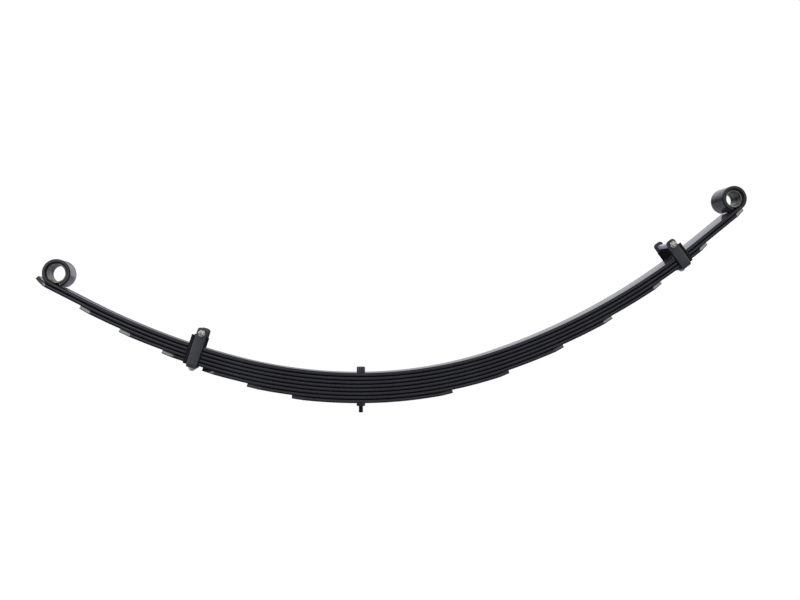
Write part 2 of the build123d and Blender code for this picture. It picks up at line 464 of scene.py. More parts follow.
@dataclass(frozen=True)
class Pack:
    """The whole pack's shape, and the zones in which its arms bend."""

    thickness: float = 6.5
    width: float = 60.0
    count: int = 8
    front: Arm = Arm(-1, 835.0, 215.0, 1215.0, 482.0, 549.0, 17.0)
    rear: Arm = Arm(1, 748.0, 243.0, 1175.0, 651.0, 749.0, 16.0)
    front_inner_zone: tuple[float, float] = (-45.0, -266.0)
    front_outer_zone: tuple[float, float] = (-300.0, -522.0)
    rear_zone: tuple[float, float] = (50.0, 588.0)

    def arm(self, run: float) -> Arm:
        """The arm that a run lies on."""
        return self.rear if run >= 0 else self.front

    def point(self, run: float, depth: float = 0.0) -> tuple[float, float]:
        """X and Z of a place in the pack."""
        return self.arm(run).point(abs(run), depth)

    def place(self, run: float, depth: float = 0.0) -> Place:
        """A frame in the pack: x along the leaves to +X, y across, z up from them."""
        arm = self.arm(run)
        slope = arm.side * arm.slope(abs(run))
        along = Vector((math.cos(slope), 0, math.sin(slope)))
        x, z = self.point(run, depth)
        across = Vector((0, 1, 0))
        return Place(Vector((x, 0, z)), along, across, along.cross(across))

    def zone_ends(self, zone: tuple[float, float]) -> tuple[Vector, Vector]:
        """A bending zone's two ends, in metres, at half the main leaf's depth."""
        ends = [self.point(run, self.thickness / 2) for run in zone]
        return tuple(Vector((x, 0, z)) * MM for x, z in ends)


PACK = Pack()


# ---------------------------------------------------------------------------------------------
# Leaves
# ---------------------------------------------------------------------------------------------


@dataclass
class BarTree:
    """Geometry Nodes tree that rolls a flat bar with round edges along a line of edges.

    The line's own attributes are run, the distance along the bar in metres, and cut, how much is
    sheared off each side there. The bar gets the attribute lay, its surface's place on the bar
    before it was bent: run, across and up, so that a pattern on it follows the bar at any pose.
    """

    name: str = "rolled flat bar"
    corner_steps: int = 5
    tree: bpy.types.NodeTree = field(init=False)

    def __post_init__(self) -> None:
        """Build the tree."""
        tree = bpy.data.node_groups.new(self.name, "GeometryNodeTree")
        self.tree = tree
        face = tree.interface
        face.new_socket("Line", in_out="INPUT", socket_type="NodeSocketGeometry")
        for size in ("Width", "Thickness", "Edge Radius"):
            face.new_socket(size, in_out="INPUT", socket_type="NodeSocketFloat")
        face.new_socket("Material", in_out="INPUT", socket_type="NodeSocketMaterial")
        face.new_socket("Bar", in_out="OUTPUT", socket_type="NodeSocketGeometry")
        given = add_node(tree, "NodeGroupInput").outputs
        sizes = {"Width": given["Width"], "Height": given["Thickness"]}
        section = add_node(tree, "GeometryNodeCurvePrimitiveQuadrilateral", sizes)
        corners = {0: section, "Radius": given["Edge Radius"], "Count": self.corner_steps}
        rounded = add_node(tree, "GeometryNodeFilletCurve", corners, mode="POLY")
        position = add_node(tree, "GeometryNodeInputPosition")
        stored = {"data_type": "FLOAT_VECTOR", "domain": "POINT"}
        marks = {"Geometry": rounded, "Name": "section", "Value": position}
        marked = add_node(tree, "GeometryNodeStoreNamedAttribute", marks, **stored)
        line = add_node(tree, "GeometryNodeMeshToCurve", {0: given["Line"]})
        sweep = {"Curve": line, "Profile Curve": marked, "Fill Caps": True}
        bar = add_node(tree, "GeometryNodeCurveToMesh", sweep)
        parts = add_node(tree, PARTS, {0: position}).outputs
        cut = add_node(tree, NAMED, {"Name": "cut"})
        half = add_node(tree, MATH, {0: given["Width"], 1: 0.5}, operation="MULTIPLY")
        limit = add_node(tree, MATH, {0: half, 1: cut}, operation="SUBTRACT")
        lower = add_node(tree, MATH, {0: limit, 1: -1.0}, operation="MULTIPLY")
        capped = add_node(tree, MATH, {0: parts[1], 1: limit}, operation="MINIMUM")
        sheared = add_node(tree, MATH, {0: capped, 1: lower}, operation="MAXIMUM")
        moved = add_node(tree, "ShaderNodeCombineXYZ", {0: parts[0], 1: sheared, 2: parts[2]})
        shaped = add_node(tree, "GeometryNodeSetPosition", {"Geometry": bar, "Position": moved})
        run = add_node(tree, NAMED, {"Name": "run"})
        on_section = add_node(tree, NAMED, {"Name": "section"}, data_type="FLOAT_VECTOR")
        across = add_node(tree, PARTS, {0: on_section}).outputs
        flat = add_node(tree, "ShaderNodeCombineXYZ", {0: run, 1: across[0], 2: across[1]})
        lay = {"Geometry": shaped, "Name": "lay", "Value": flat}
        laid = add_node(tree, "GeometryNodeStoreNamedAttribute", lay, **stored)
        end_tree(tree, laid, given["Material"])


@dataclass(frozen=True)
class Station:
    """A place on a leaf's middle line: X, Z and run in millimetres, and what is cut off there."""

    x: float
    z: float
    run: float
    cut: float = 0.0


@dataclass
class Leaf:
    """One leaf, built as pieces that bend with their own part of an arm."""

    number: int
    front_end: float
    rear_end: float
    node: str
    step: float = 5.0
    tip_step: float = 1.5
    roll_step: float = 4.0
    trim_length: float = 22.0
    trim_width: float = 15.0
    edge_radius: float = 2.2
    eye_wrap: float = 313.0
    curl_radius: float = 60.0
    curl_angle: float = 23.0
    seam: float = -40.0
    clip_seam: float = -271.0
    bolt_hole: float = 4.2
    bolt_cut: float = 20.0
    edge_break: float = 0.4

    @property
    def depth(self) -> float:
        """Depth of the leaf's middle."""
        return (self.number - 0.5) * PACK.thickness

    def cut(self, to_tip: float) -> float:
        """How much is sheared off each side, at a distance from a trimmed end."""
        return self.trim_width * max(0.0, 1 - to_tip / self.trim_length)

    def straight(self, begin: float, end: float) -> list[Station]:
        """Stations along the leaf from one run to another, closer together where it is trimmed."""
        near = self.trim_length + 2
        stops = {begin, end}
        low, high = begin, end
        if begin <= -self.front_end:
            stops |= set(np.arange(begin, begin + near, self.tip_step))
            low = begin + near
        if end >= self.rear_end:
            stops |= set(np.arange(end - near, end, self.tip_step))
            high = end - near
        count = max(2, round((high - low) / self.step) + 1)
        stops |= set(np.linspace(low, high, count))
        stations = []
        for run in sorted(stops):
            cut = max(self.cut(run + self.front_end), self.cut(self.rear_end - run))
            stations.append(Station(*PACK.point(run, self.depth), run, cut))
        return stations

    def roll(self, arm: Arm, radius: float, angle: float, trimmed: bool) -> list[Station]:
        """Stations round an eye or a curled end, from the leaf to the end.

        Args:
            arm: the arm whose end curls up.
            radius: radius of the leaf's middle line there.
            angle: how far it curls, in degrees.
            trimmed: whether the end's corners are cut off.

        Returns:
            The stations, without the one where the curl begins.
        """
        length = math.radians(angle) * radius
        step = self.tip_step if trimmed else math.radians(self.roll_step) * radius
        count = round(length / step)
        stations = []
        for k in range(1, count + 1):
            part = k / count
            x, z = arm.rolled(self.depth, radius, part * angle)
            run = arm.side * (arm.eye_distance + part * length)
            cut = self.cut(length * (1 - part)) if trimmed else 0.0
            stations.append(Station(x, z, run, cut))
        return stations

    def line(self, begin: float, end: float) -> list[Station]:
        """All stations of a piece, eyes and curled end included where it reaches that far."""
        front, rear = PACK.front, PACK.rear
        if self.number == 1:
            first = max(begin, -front.eye_distance)
            last = min(end, rear.eye_distance)
            stations = self.straight(first, last)
            half = PACK.thickness / 2
            if begin < -front.eye_distance:
                eye = self.roll(front, front.bore_radius + half, self.eye_wrap, False)
                stations = eye[::-1] + stations
            if end > rear.eye_distance:
                stations += self.roll(rear, rear.bore_radius + half, self.eye_wrap, False)
            return stations
        if self.number == 2 and begin < -front.eye_distance:
            radius = self.curl_radius + self.depth
            curl = self.roll(front, radius, self.curl_angle, True)
            return curl[::-1] + self.straight(-front.eye_distance, end)
        return self.straight(begin, end)

    def bar(
        self, name: str, stations: Sequence[Station], tree: BarTree, finish: bpy.types.Material
    ) -> bpy.types.Object:
        """Roll a piece of the leaf along its stations."""
        mesh = bpy.data.meshes.new(name)
        points = [(s.x * MM, 0.0, s.z * MM) for s in stations]
        edges = [(k, k + 1) for k in range(len(points) - 1)]
        mesh.from_pydata(points, edges, [])
        for key, values in (
            ("run", [s.run * MM for s in stations]),
            ("cut", [s.cut * MM for s in stations]),
        ):
            mesh.attributes.new(key, "FLOAT", "POINT").data.foreach_set("value", values)
        piece = add_object(name, mesh)
        rolled = piece.modifiers.new("bar", "NODES")
        rolled.node_group = tree.tree
        sizes = {
            "Width": PACK.width * MM,
            "Thickness": PACK.thickness * MM,
            "Edge Radius": self.edge_radius * MM,
            "Material": finish,
        }
        set_inputs(rolled, sizes)
        settle(piece)
        return piece

    def build(self, tree: BarTree, finish: bpy.types.Material) -> list[bpy.types.Object]:
        """Make the leaf's pieces, give each its bodies, and hide the CAD leaf.

        Args:
            tree: the flat bar's tree.
            finish: the leaf's material.

        Returns:
            The pieces.
        """
        inner_end = max(-self.front_end, self.clip_seam)
        spans = [
            ("rear", self.seam, self.rear_end, "centre", "rear_end", PACK.rear_zone),
            ("front_inner", inner_end, self.seam, "centre", "front_clip", PACK.front_inner_zone),
        ]
        if -self.front_end < self.clip_seam:
            outer = (-self.front_end, self.clip_seam, "front_clip", "front_eye")
            spans.append(("front_outer", *outer, PACK.front_outer_zone))
        pieces = []
        for part, begin, end, body, other, zone in spans:
            piece = self.bar(f"{self.node}_{part}", self.line(begin, end), tree, finish)
            if part == "rear":
                middle, up = Vector((0, 0, -self.depth)), Vector((0, 0, 1))
                drill(piece, middle, up, self.bolt_hole, self.bolt_cut)
            break_edges(piece, self.edge_break, seams=(self.seam, self.clip_seam))
            shade_by_angle(piece)
            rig.replaces(piece, self.node)
            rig.slot(piece, "spring_steel")
            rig.blend(piece, body, other, *PACK.zone_ends(zone))
            pieces.append(piece)
        return pieces


# ---------------------------------------------------------------------------------------------
# Bolts, nuts, sleeves and rivets
# ---------------------------------------------------------------------------------------------


HEX_FACE = 0.95  # the flat face's diameter, as a share of the width across flats
HEX_CHAMFER = 30.0  # degrees from the face at which the corners are turned down
CHAMFER_STEPS = (0.0, 0.3, 0.6, 1.02)  # the last takes the cone just past the corners
COUNTERSINK = 0.4
SHANK_GAP = 0.02  # by how much a shank is thinner than its thread
SHANK_IN_HEAD = 0.5
SHANK_IN_NUT = 0.4  # share of the nut's height
THREAD_OVERLAP = 0.2  # how far a thread reaches into its shank


def hexagon(flats: float, around: int) -> np.ndarray:
    """Radius of a hexagon of a given width across flats, at evenly spaced angles."""
    angles = np.degrees(np.arange(around) * 2 * math.pi / around)
    off_corner = (angles % 60.0) - 30.0
    return flats / 2 / np.cos(np.radians(off_corner))


def hex_piece(
    name: str, place: Place, flats: float, height: float, hole: float = 0.0, around: int = 72
) -> bpy.types.Object:
    """Make a hexagonal head or nut, its corners turned down at both faces.

    Args:
        name: the piece's name.
        place: centre of its lower face; it stands along the place's z.
        flats: width across flats.
        height: its height.
        hole: radius of a nut's hole, 0 for a head.
        around: how many steps go round.

    Returns:
        The new object.
    """
    hexed = hexagon(flats, around)
    cone = flats / 2 * HEX_FACE
    slope = 1 / math.tan(math.radians(HEX_CHAMFER))
    drop = (hexed.max() - cone) / slope
    levels = [drop * step for step in CHAMFER_STEPS]
    profile = [(h, cone + h * slope) for h in levels]
    profile += [(height - h, cone + h * slope) for h in levels[::-1]]
    if hole:
        wide = hole + COUNTERSINK
        profile += [(height, wide), (height - COUNTERSINK, hole), (COUNTERSINK, hole), (0, wide)]
    angles = np.arange(around) * 2 * math.pi / around
    rings = []
    for h, radius in profile:
        r = np.minimum(hexed, radius)
        rings.append(np.stack([r * np.cos(angles), r * np.sin(angles), np.full(around, h)], 1))
    return new_piece(name, *skin(place.points(rings), bool(hole)))


@dataclass
class ThreadTree:
    """Geometry Nodes tree that makes a rod with a screw thread on it."""

    name: str = "threaded rod"
    around: int = 40
    steps_per_pitch: int = 7
    depth_share: float = 0.6  # the thread's depth, as a share of its pitch
    tree: bpy.types.NodeTree = field(init=False)

    def __post_init__(self) -> None:
        """Build the tree."""
        tree = bpy.data.node_groups.new(self.name, "GeometryNodeTree")
        self.tree = tree
        face = tree.interface
        for size in ("Radius", "Length", "Pitch", "Depth"):
            face.new_socket(size, in_out="INPUT", socket_type="NodeSocketFloat")
        face.new_socket("Material", in_out="INPUT", socket_type="NodeSocketMaterial")
        face.new_socket("Rod", in_out="OUTPUT", socket_type="NodeSocketGeometry")
        given = add_node(tree, "NodeGroupInput").outputs

        radius, length, pitch, full = (given[k] for k in ("Radius", "Length", "Pitch", "Depth"))
        turns = add_node(tree, MATH, {0: length, 1: pitch}, operation="DIVIDE")
        steps = float(self.steps_per_pitch)
        rows = add_node(tree, MATH, {0: turns, 1: steps}, operation="MULTIPLY")
        sizes = {"Vertices": self.around, "Side Segments": rows, "Radius": radius, "Depth": length}
        rod = add_node(tree, "GeometryNodeMeshCylinder", sizes)
        place = add_node(tree, "GeometryNodeInputPosition")
        parts = add_node(tree, PARTS, {0: place}).outputs
        angle = add_node(tree, MATH, {0: parts[1], 1: parts[0]}, operation="ARCTAN2")
        turn = add_node(tree, MATH, {0: angle, 1: 2 * math.pi}, operation="DIVIDE")
        rise = add_node(tree, MATH, {0: parts[2], 1: pitch}, operation="DIVIDE")
        phase = add_node(tree, MATH, {0: rise, 1: turn}, operation="SUBTRACT")
        wave = add_node(tree, MATH, {0: phase, 1: 0.5}, operation="PINGPONG")
        groove = add_node(tree, MATH, {0: 0.5, 1: wave}, operation="SUBTRACT")
        doubled = add_node(tree, MATH, {0: groove, 1: 2.0}, operation="MULTIPLY")
        depth = add_node(tree, MATH, {0: doubled, 1: full}, operation="MULTIPLY")
        half = add_node(tree, MATH, {0: length, 1: 0.5}, operation="MULTIPLY")
        height = add_node(tree, MATH, {0: parts[2]}, operation="ABSOLUTE")
        to_end = add_node(tree, MATH, {0: half, 1: height}, operation="SUBTRACT")
        lead = add_node(tree, MATH, {0: full, 1: to_end}, operation="SUBTRACT")
        taken = add_node(tree, MATH, {0: depth, 1: lead}, operation="MAXIMUM")
        lost = add_node(tree, MATH, {0: taken, 1: radius}, operation="DIVIDE")
        share = add_node(tree, MATH, {0: 1.0, 1: lost}, operation="SUBTRACT")
        x = add_node(tree, MATH, {0: parts[0], 1: share}, operation="MULTIPLY")
        y = add_node(tree, MATH, {0: parts[1], 1: share}, operation="MULTIPLY")
        shaped = add_node(tree, "ShaderNodeCombineXYZ", {0: x, 1: y, 2: parts[2]})
        threaded = add_node(tree, "GeometryNodeSetPosition", {"Geometry": rod, "Position": shaped})
        end_tree(tree, threaded, given["Material"])

    def rod(
        self, name: str, place: Place, radius: float, length: float, pitch: float
    ) -> bpy.types.Object:
        """Make a threaded rod that stands on a place along its z."""
        mesh = bpy.data.meshes.new(name)
        piece = add_object(name, mesh)
        modifier = piece.modifiers.new("thread", "NODES")
        modifier.node_group = self.tree
        sizes = {
            "Radius": radius * MM,
            "Length": length * MM,
            "Pitch": pitch * MM,
            "Depth": self.depth_share * pitch * MM,
        }
        set_inputs(modifier, sizes)
        settle(piece)
        local = np.array([v.co for v in piece.data.vertices], float) / MM
        local[:, 2] += length / 2
        moved = place.points(local) * MM
        piece.data.vertices.foreach_set("co", moved.ravel())
        return piece


def joined(name: str, pieces: Sequence[bpy.types.Object]) -> bpy.types.Object:
    """Put several pieces' meshes into one new piece and remove them."""
    shape = bmesh.new()
    for piece in pieces:
        shape.from_mesh(piece.data)
    bmesh.ops.recalc_face_normals(shape, faces=shape.faces)
    mesh = bpy.data.meshes.new(name)
    shape.to_mesh(mesh)
    shape.free()
    for piece in pieces:
        old = piece.data
        bpy.data.objects.remove(piece)
        bpy.data.meshes.remove(old)
    return add_object(name, mesh)


def dress(
    piece: bpy.types.Object, finish: bpy.types.Material, slot: str, node: str, body: str
) -> bpy.types.Object:
    """Give a rigid piece its finish, let it stand for its CAD node, and let it ride on its body."""
    piece.data.materials.clear()
    piece.data.materials.append(finish)
    shade_by_angle(piece)
    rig.replaces(piece, node)
    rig.slot(piece, slot)
    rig.ride(piece, body)
    faces = len(piece.data.polygons)
    log.info("%s stands for %s, rides on %s: %d faces", piece.name, node, body, faces)
    return piece


@dataclass
class CentreBolt:
    """The bolt that holds the pack together at its middle, and its nut."""

    radius: float = 4.0
    head_radius: float = 7.3
    head_seat: float = 0.05
    head_top: float = 9.8
    head_edge: float = 0.9
    seat_edge: float = 0.4
    dimple_rim: float = 3.2
    dimple_floor: float = 2.6
    dimple_depth: float = 0.35
    stub: float = 11.0
    pitch: float = 1.25
    flats: float = 13.0
    nut_height: float = 6.5

    def build(self, thread: ThreadTree, finish: bpy.types.Material) -> None:
        """Make the bolt and the nut."""
        pack_bottom = -PACK.count * PACK.thickness
        upright = Place(Vector(), Vector((1, 0, 0)), Vector((0, 1, 0)), Vector((0, 0, 1)))
        seat, top, edge = self.head_seat, self.head_top, self.head_edge
        soft = 0.3 * edge
        head = [
            (self.radius / 2, seat),
            (self.head_radius - self.seat_edge, seat),
            (self.head_radius, seat + self.seat_edge),
            (self.head_radius, top - edge),
            (self.head_radius - soft, top - soft),
            (self.head_radius - edge, top),
            (self.dimple_rim, top),
            (self.dimple_floor, top - self.dimple_depth),
        ]
        plain_end = pack_bottom - self.nut_height * SHANK_IN_NUT
        thinner = self.radius - SHANK_GAP
        shank = [(thinner, seat + SHANK_IN_HEAD), (thinner, plain_end)]
        bottom = pack_bottom - self.nut_height - self.stub
        below = upright.moved(Vector((0, 0, bottom)))
        length = plain_end - bottom + THREAD_OVERLAP
        bolt = joined(
            "centre_bolt_turned",
            [
                turned("head", upright, head, False),
                turned("shank", upright, shank, False, thread.around),
                thread.rod("thread", below, self.radius, length, self.pitch),
            ],
        )
        dress(bolt, finish, "bolt_steel", "centre_bolt", "centre")
        under = Place(Vector((0, 0, pack_bottom)), upright.x, -upright.y, -upright.z)
        nut = hex_piece("centre_nut_hex", under, self.flats, self.nut_height, self.radius)
        dress(nut, finish, "bolt_steel", "centre_nut", "centre")


@dataclass
class EyeSleeve:
    """The steel sleeve pressed into one of the main leaf's eyes."""

    arm: Arm
    node: str
    body: str
    gap: float = 0.05
    wall: float = 3.0
    length: float = 48.0
    edge: float = 0.7
    steps: int = 14
    around: int = 96

    def build(self, finish: bpy.types.Material) -> None:
        """Make the sleeve, its edges turned off inside and out."""
        x, z = self.arm.point(self.arm.eye_distance, -self.arm.bore_radius)
        across = Place(Vector((x, 0, z)), Vector((1, 0, 0)), Vector((0, 0, -1)), Vector((0, 1, 0)))
        outer, inner = self.arm.bore_radius - self.gap, self.arm.bore_radius - self.wall
        half, edge = self.length / 2, self.edge
        soft = 0.35 * edge
        end = [
            (inner, half - edge),
            (inner + soft, half - soft),
            (inner + edge, half),
            (outer - edge, half),
            (outer - soft, half - soft),
            (outer, half - edge),
        ]
        wall = tube_wall(end)
        wall += [(inner, h) for h in np.linspace(half - edge, edge - half, self.steps)[1:-1]]
        sleeve = turned(f"{self.node}_turned", across, wall, True, self.around)
        dress(sleeve, finish, "bare_steel", self.node, self.body)


# ---------------------------------------------------------------------------------------------
# Rebound clips
# ---------------------------------------------------------------------------------------------


@dataclass
class Channel:
    """A flat strip bent to a U across the leaves: its path, and how wide it is at each height."""

    half_width: float
    floor: float
    bend: float
    thickness: float
    top: float
    half_length: Callable[[float], float]
    corner: float = 0.7
    turn_steps: int = 9
    leg_steps: int = 12
    floor_steps: int = 8
    quarter: tuple[int, ...] = (0, 30, 60, 90)

    def path(self) -> list[tuple[float, float, float, float]]:
        """Places along the strip's middle: across, up, and the two parts of its outward normal."""
        low = self.floor + self.bend
        places = []
        ear = self.ear_heights()
        for height in [*ear, *np.linspace(ear[-1], low, self.leg_steps)[1:]]:
            places.append((self.half_width, height, 1.0, 0.0))
        for k in range(1, self.turn_steps + 1):
            turn = math.radians(90) * k / self.turn_steps
            out, down = math.cos(turn), math.sin(turn)
            across = self.half_width - self.bend + self.bend * out
            places.append((across, low - self.bend * down, out, -down))
        middle = np.linspace(self.half_width - self.bend, 0.0, self.floor_steps)[1:]
        places += [(y, self.floor, 0.0, -1.0) for y in middle]
        return places + [(-y, z, -ny, nz) for y, z, ny, nz in places[:-1][::-1]]

    def ear_heights(self) -> list[float]:
        """Heights at which the strip's end needs a station of its own."""
        return [self.top]

    def build(self, name: str, place: Place) -> bpy.types.Object:
        """Make the strip, its long edges rounded."""
        half = self.thickness / 2
        rings = []
        for y, z, ny, nz in self.path():
            reach = self.half_length(z)
            corner = min(self.corner, reach * 0.8, half * 0.9)
            ring = []
            for sx, sn in ((1, 1), (-1, 1), (-1, -1), (1, -1)):
                for angle in self.quarter if sx * sn > 0 else self.quarter[::-1]:
                    a = math.radians(angle)
                    along = sx * (reach - corner + corner * math.cos(a))
                    out = sn * (half - corner + corner * math.sin(a))
                    ring.append((along, y + out * ny, z + out * nz))
            rings.append(ring)
        return new_piece(name, *skin(place.points(rings), False))


@dataclass
class StrapChannel(Channel):
    """The clip's strap: the corners of its ears are rounded off."""

    ear_corner: float = 5.5
    ear_steps: int = 7

    def ear_heights(self) -> list[float]:
        """Heights of the stations round the ear's corner, from its top down."""
        turns = [math.radians(90) * k / self.ear_steps for k in range(self.ear_steps + 1)]
        return [self.top - self.ear_corner * (1 - math.cos(turn)) for turn in turns]


@dataclass
class Clip:
    """A rebound clip: strap, liner, bolt, nut, spacer tube and the rivet that holds it."""

    name: str
    run: float
    leaves: int
    body: str
    gap: float = 0.4
    liner_thickness: float = 2.0
    liner_width: float = 26.0
    liner_shift: float = 2.5  # how much further it reaches towards the eye
    liner_top: float = 16.5
    liner_bend: float = 3.0
    strap_thickness: float = 4.0
    strap_width: float = 18.0
    strap_bend: float = 7.0
    strap_edge: float = 1.8
    bolt_height: float = 22.0
    ear_top: float = 31.5
    ear_corner: float = 5.5
    bolt_radius: float = 3.0
    hole_radius: float = 3.2
    flats: float = 11.0
    head_height: float = 4.0
    nut_height: float = 5.0
    stub: float = 2.5
    pitch: float = 1.0
    spacer_radius: float = 4.5
    spacer_gap: float = 0.02
    spacer_edge: float = 0.4
    rivet_radius: float = 4.0
    rivet_slack: float = 0.1
    dome_radius: float = 6.5
    dome_steps: int = 12
    upset_recess: float = 0.3
    upset_height: float = 1.5
    upset_flare: float = 1.2
    liner_edge: float = 0.5
    around: int = 48
    shank_around: int = 32
    ears_cut: float = 50.0  # how far each way the drill goes for the bolt
    strap_cut: float = 9.0  # and for the rivet, in the strap and in the liner
    liner_cut: float = 5.0

    def __post_init__(self) -> None:
        """Work out where the clip's faces lie."""
        self.place = PACK.place(self.run)
        self.liner_inner = PACK.width / 2 + self.gap
        self.strap_inner = self.liner_inner + self.liner_thickness
        self.strap_outer = self.strap_inner + self.strap_thickness
        self.liner_floor = -self.leaves * PACK.thickness - self.gap
        self.strap_floor = self.liner_floor - self.liner_thickness
        self.strap_bottom = self.strap_floor - self.strap_thickness

    def bolt_place(self, across: float, outwards: int) -> Place:
        """A frame on the clip bolt's axis whose z points outwards, to +Y or to -Y."""
        origin = self.place.origin + self.place.z * self.bolt_height + Vector((0, across, 0))
        z = Vector((0, outwards, 0))
        return Place(origin, self.place.x, z.cross(self.place.x), z)

    def ear_reach(self, height: float) -> float:
        """Half the strap's length along the leaves at a height."""
        half = self.strap_width / 2
        up = max(0.0, height - (self.ear_top - self.ear_corner))
        return half - self.ear_corner + math.sqrt(max(self.ear_corner**2 - up**2, 0.0))

    def build_strap(self, finish: bpy.types.Material) -> None:
        """Make the strap and drill it for the bolt and the rivet."""
        half = self.strap_thickness / 2
        channel = StrapChannel(
            half_width=self.strap_inner + half,
            floor=self.strap_floor - half,
            bend=self.strap_bend - half,
            thickness=self.strap_thickness,
            top=self.ear_top,
            half_length=self.ear_reach,
            corner=self.strap_edge,
            ear_corner=self.ear_corner,
        )
        strap = channel.build(f"{self.name}_strap_bent", self.place)
        drill(
            strap, self.bolt_place(0, 1).origin, self.place.y, self.hole_radius, self.ears_cut
        )
        floor = self.place.origin + self.place.z * self.strap_floor
        wide = self.rivet_radius + self.rivet_slack
        drill(strap, floor, self.place.z, wide, self.strap_cut)
        dress(strap, finish, "strap_steel", f"{self.name}_strap", self.body)

    def build_liner(self, finish: bpy.types.Material) -> None:
        """Make the liner between the leaves and the strap."""
        half = self.liner_thickness / 2
        channel = Channel(
            half_width=self.liner_inner + half,
            floor=self.liner_floor - half,
            bend=self.liner_bend - half,
            thickness=self.liner_thickness,
            top=self.liner_top,
            half_length=lambda height: self.liner_width / 2,
            corner=self.liner_edge,
        )
        shift = math.copysign(self.liner_shift, self.run)
        middle = self.place.moved(self.place.x * shift)
        liner = channel.build(f"{self.name}_liner_moulded", middle)
        floor = self.place.origin + self.place.z * self.liner_floor
        wide = self.rivet_radius + self.rivet_slack
        drill(liner, floor, self.place.z, wide, self.liner_cut)
        dress(liner, finish, "liner_nylon", f"{self.name}_liner", self.body)

    def build_bolt(self, thread: ThreadTree, finish: bpy.types.Material) -> None:
        """Make the clip bolt, its nut towards -Y."""
        out = self.strap_outer
        head = hex_piece("head", self.bolt_place(out, 1), self.flats, self.head_height)
        plain_end = out + self.nut_height * SHANK_IN_NUT
        thinner = self.bolt_radius - SHANK_GAP
        line = [(thinner, -out - SHANK_IN_HEAD), (thinner, plain_end)]
        shank = turned("shank", self.bolt_place(0, -1), line, False, self.shank_around)
        end = out + self.nut_height + self.stub
        length = end - plain_end + THREAD_OVERLAP
        foot = self.bolt_place(-end, 1)
        rod = thread.rod("thread", foot, self.bolt_radius, length, self.pitch)
        bolt = joined(f"{self.name}_bolt_hex", [head, shank, rod])
        dress(bolt, finish, "zinc_steel", f"{self.name}_bolt", self.body)
        place = self.bolt_place(-out, -1)
        sizes = (self.flats, self.nut_height, self.bolt_radius)
        nut = hex_piece(f"{self.name}_nut_hex", place, *sizes)
        dress(nut, finish, "zinc_steel", f"{self.name}_nut", self.body)

    def build_spacer(self, finish: bpy.types.Material) -> None:
        """Make the tube that keeps the ears apart."""
        half, edge = self.strap_inner - self.spacer_gap, self.spacer_edge
        end = [
            (self.hole_radius, half - edge),
            (self.hole_radius + edge, half),
            (self.spacer_radius - edge, half),
            (self.spacer_radius, half - edge),
        ]
        axis = self.bolt_place(0, 1)
        spacer = turned(f"{self.name}_spacer_tube", axis, tube_wall(end), True, self.around)
        dress(spacer, finish, "spacer_steel", f"{self.name}_spacer", self.body)

    def build_rivet(self, finish: bpy.types.Material) -> None:
        """Make the rivet, its dome below the strap and its upset end in the last leaf."""
        top = -(self.leaves - 1) * PACK.thickness - self.upset_recess
        bottom = self.strap_bottom
        radius, steps = self.dome_radius, self.dome_steps
        turns = [math.radians(90) * k / steps for k in range(1, steps + 1)]
        outline = [(0.04 * radius, bottom - radius)]
        outline += [(radius * math.sin(turn), bottom - radius * math.cos(turn)) for turn in turns]
        outline += [
            (radius, bottom + 0.02),
            (self.rivet_radius, bottom + 0.04),
            (self.rivet_radius, top - self.upset_height),
            (self.rivet_radius + self.upset_flare, top),
        ]
        rivet = turned(f"{self.name}_rivet_headed", self.place, outline, False, self.around)
        dress(rivet, finish, "bolt_steel", f"{self.name}_rivet", self.body)

    def build(self, thread: ThreadTree, finishes: dict[str, bpy.types.Material]) -> None:
        """Make all of the clip's pieces."""
        self.build_strap(finishes["strap"])
        self.build_liner(finishes["liner"])
        self.build_bolt(thread, finishes["zinc"])
        self.build_spacer(finishes["spacer"])
        self.build_rivet(finishes["rivet"])


# ---------------------------------------------------------------------------------------------
# Finishes
# ---------------------------------------------------------------------------------------------


class Lay(Enum):
    """What a surface's pattern follows."""

    PIECE = "piece"  # the piece's own place
    ROLLED = "rolled"  # the bar it was rolled as, drawn out along it


PATCH_SPAN = (0.36, 0.64)  # values of the noise between which the tone changes
SHEEN_SPAN = (0.3, 0.7)  # and the gloss
SHEEN_SHARE = 0.45  # size of the gloss's patches, as a share of the tone's
MARKS_NONE = 0.68  # with a share of 0, only noise above this makes a mark
MARKS_GAIN = 0.3  # how much a share of 1 lowers that
MARKS_EDGE = 0.07  # how softly a mark begins


